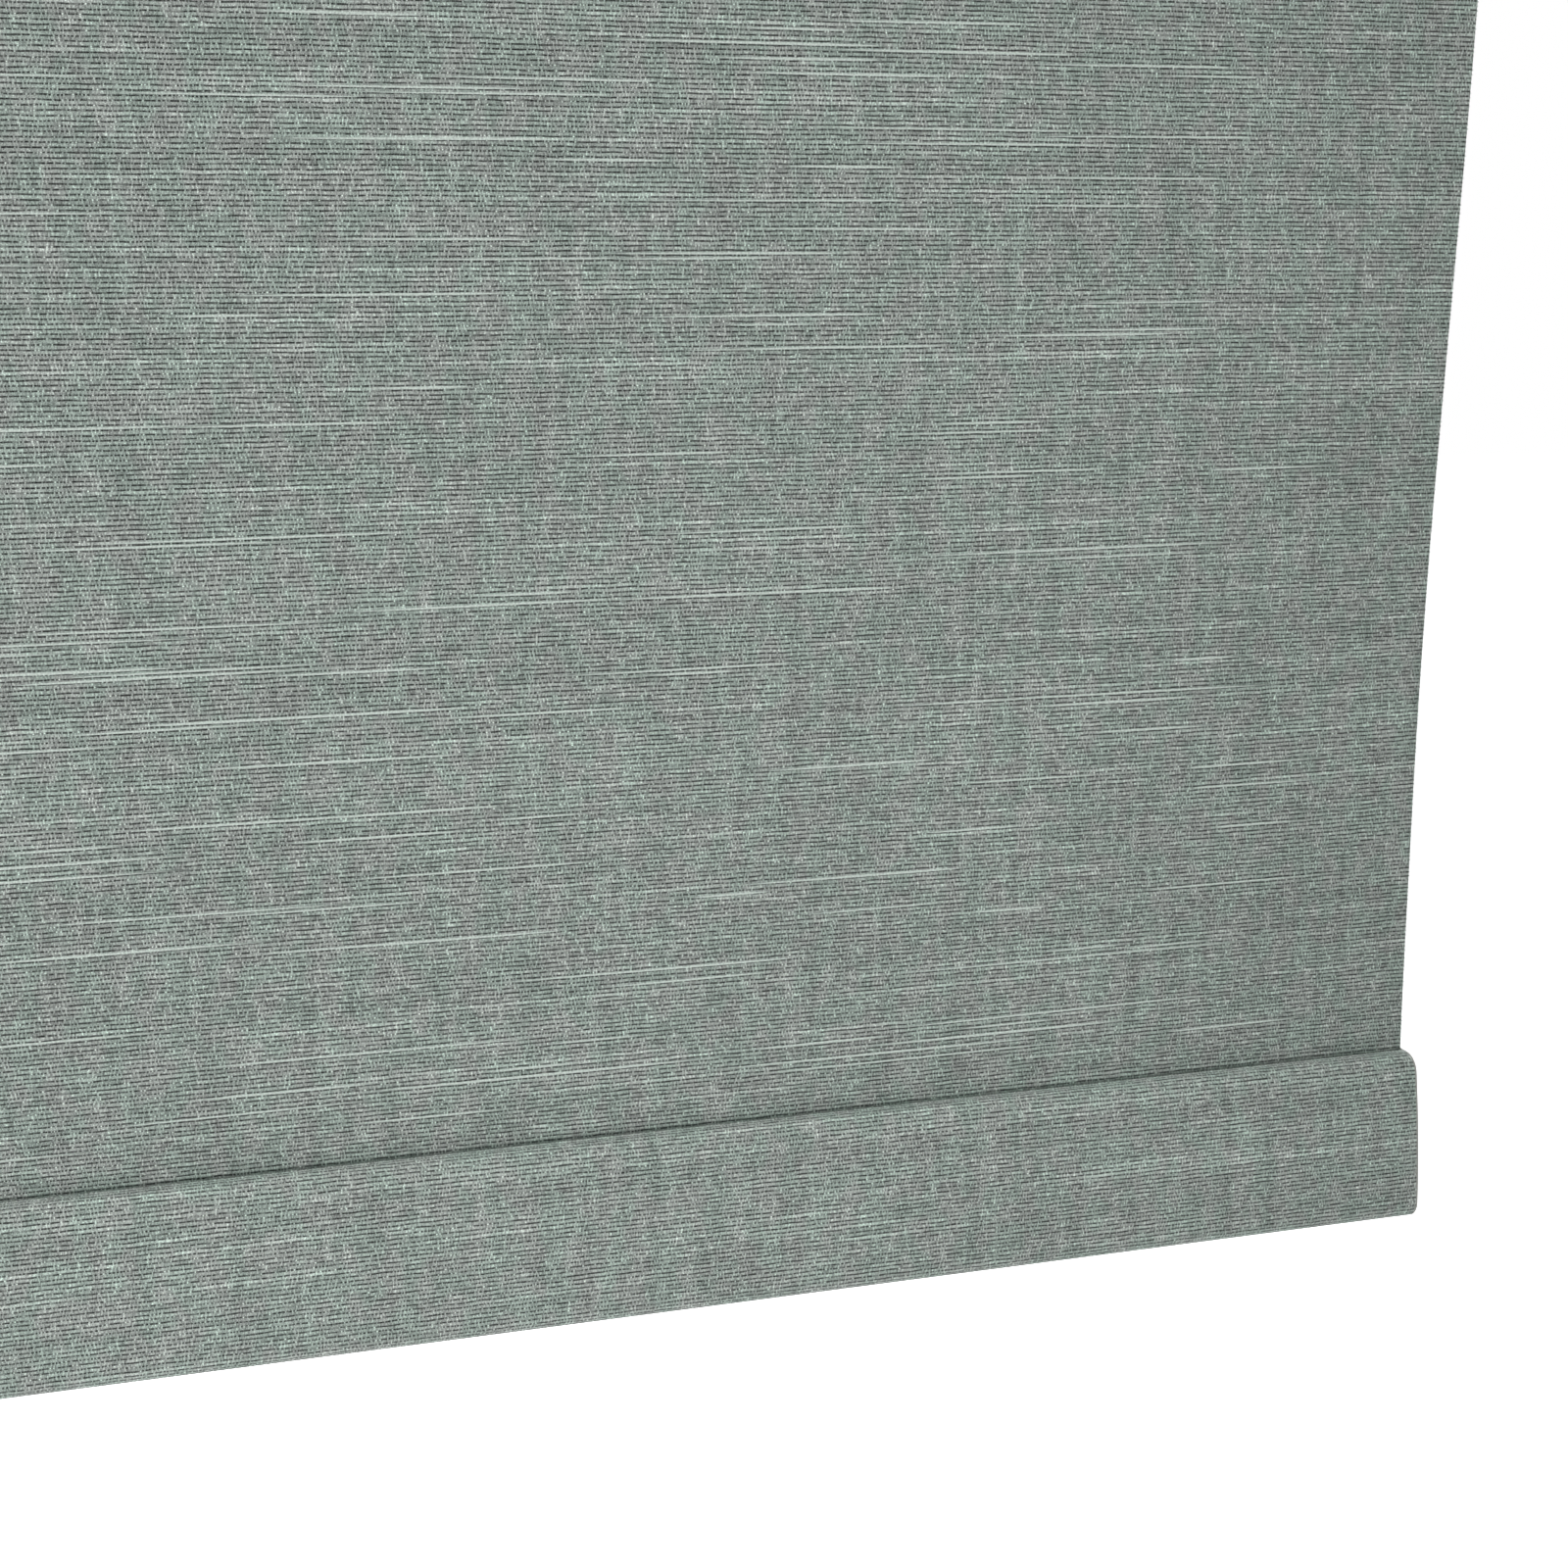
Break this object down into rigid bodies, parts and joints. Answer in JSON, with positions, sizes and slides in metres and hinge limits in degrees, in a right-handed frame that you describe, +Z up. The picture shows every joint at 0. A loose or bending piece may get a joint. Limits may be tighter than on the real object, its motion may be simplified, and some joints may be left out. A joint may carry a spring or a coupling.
{
  "type": "roller blind",
  "caption": "Cordless spring roller blind: linen-look cloth on a tube between two covered steel brackets, with a cloth-wrapped bottom rail.",
  "frame": {"origin": "centre of the rectangle of the four wall screw holes, on the wall face, midway between the two brackets", "axes": "+X to the right as seen from the room, +Y into the wall, +Z up"},
  "size_m": [0.642, 0.055, 0.9993],
  "materials": {
    "bracket_steel": "satin powder coat on folded steel",
    "cover_plastic": "fine moulded grain",
    "cap_plastic": "satin moulded, light grey",
    "plug_plastic": "satin moulded",
    "nylon": "satin, slightly waxy",
    "spline_plastic": "extruded, satin",
    "tube_aluminium": "mill finish, drawn lines along its length",
    "plated_steel": "zinc plated",
    "spring_steel": "oiled spring wire",
    "blind_cloth": "sage green and grey linen-look weave with slub threads"
  },
  "bodies": {
    "root": {"bracket_left": "bracket_steel", "bracket_right": "bracket_steel", "bracket_bush": "nylon", "bracket_cover_left": "cover_plastic", "bracket_cover_right": "cover_plastic", "lock_rivet": "plated_steel", "spring_gudgeon": "nylon", "gudgeon_ring": "spring_steel", "spring_rod": "plated_steel", "spring_anchor_plug": "nylon", "anchor_pin": "plated_steel", "torsion_spring": "spring_steel", "fabric_panel": "blind_cloth"},
    "roller": {"roller_tube": "tube_aluminium", "fabric_spline": "spline_plastic", "fabric_roll": "blind_cloth", "drive_crown": "plug_plastic", "brake_spring": "spring_steel", "spring_drive_plug": "plug_plastic", "rod_steady_bush": "plug_plastic", "idle_plug": "plug_plastic", "idle_plug_cap": "plug_plastic", "idle_pin_spring": "spring_steel"},
    "idle_pin": {"idle_pin": "plated_steel"},
    "slot_lock": {"slot_lock": "plated_steel"},
    "bottom_rail": {"hem_bar": "tube_aluminium", "hem_weight": "plated_steel", "hem_spline": "spline_plastic", "hem_wrap": "blind_cloth", "hem_cap_left": "cap_plastic", "hem_cap_right": "cap_plastic"}
  },
  "joints": [
    {"name": "rail_lift", "type": "slide", "parent": "root", "child": "bottom_rail", "axis": [0, 0, 1], "range_m": [0, 0.912], "deforming": ["fabric_panel"]},
    {"name": "roller_spin", "type": "hinge", "parent": "root", "child": "roller", "pos_m": [0, -0.03, 0], "axis": [1, 0, 0], "range_deg": [0, 2885], "deforming": ["torsion_spring"]},
    {"name": "idle_pin_press", "type": "slide", "parent": "roller", "child": "idle_pin", "axis": [1, 0, 0], "range_m": [0, 0.009], "stiffness_N_per_m": 400, "springref_m": -0.006, "deforming": ["idle_pin_spring"]},
    {"name": "slot_lock_slide", "type": "slide", "parent": "root", "child": "slot_lock", "axis": [0, 0, 1], "range_m": [0, 0.009]}
  ],
  "couplings": [
    {"joint": "roller_spin", "follows": "rail_lift", "rad_per_m": 55.117}
  ]
}
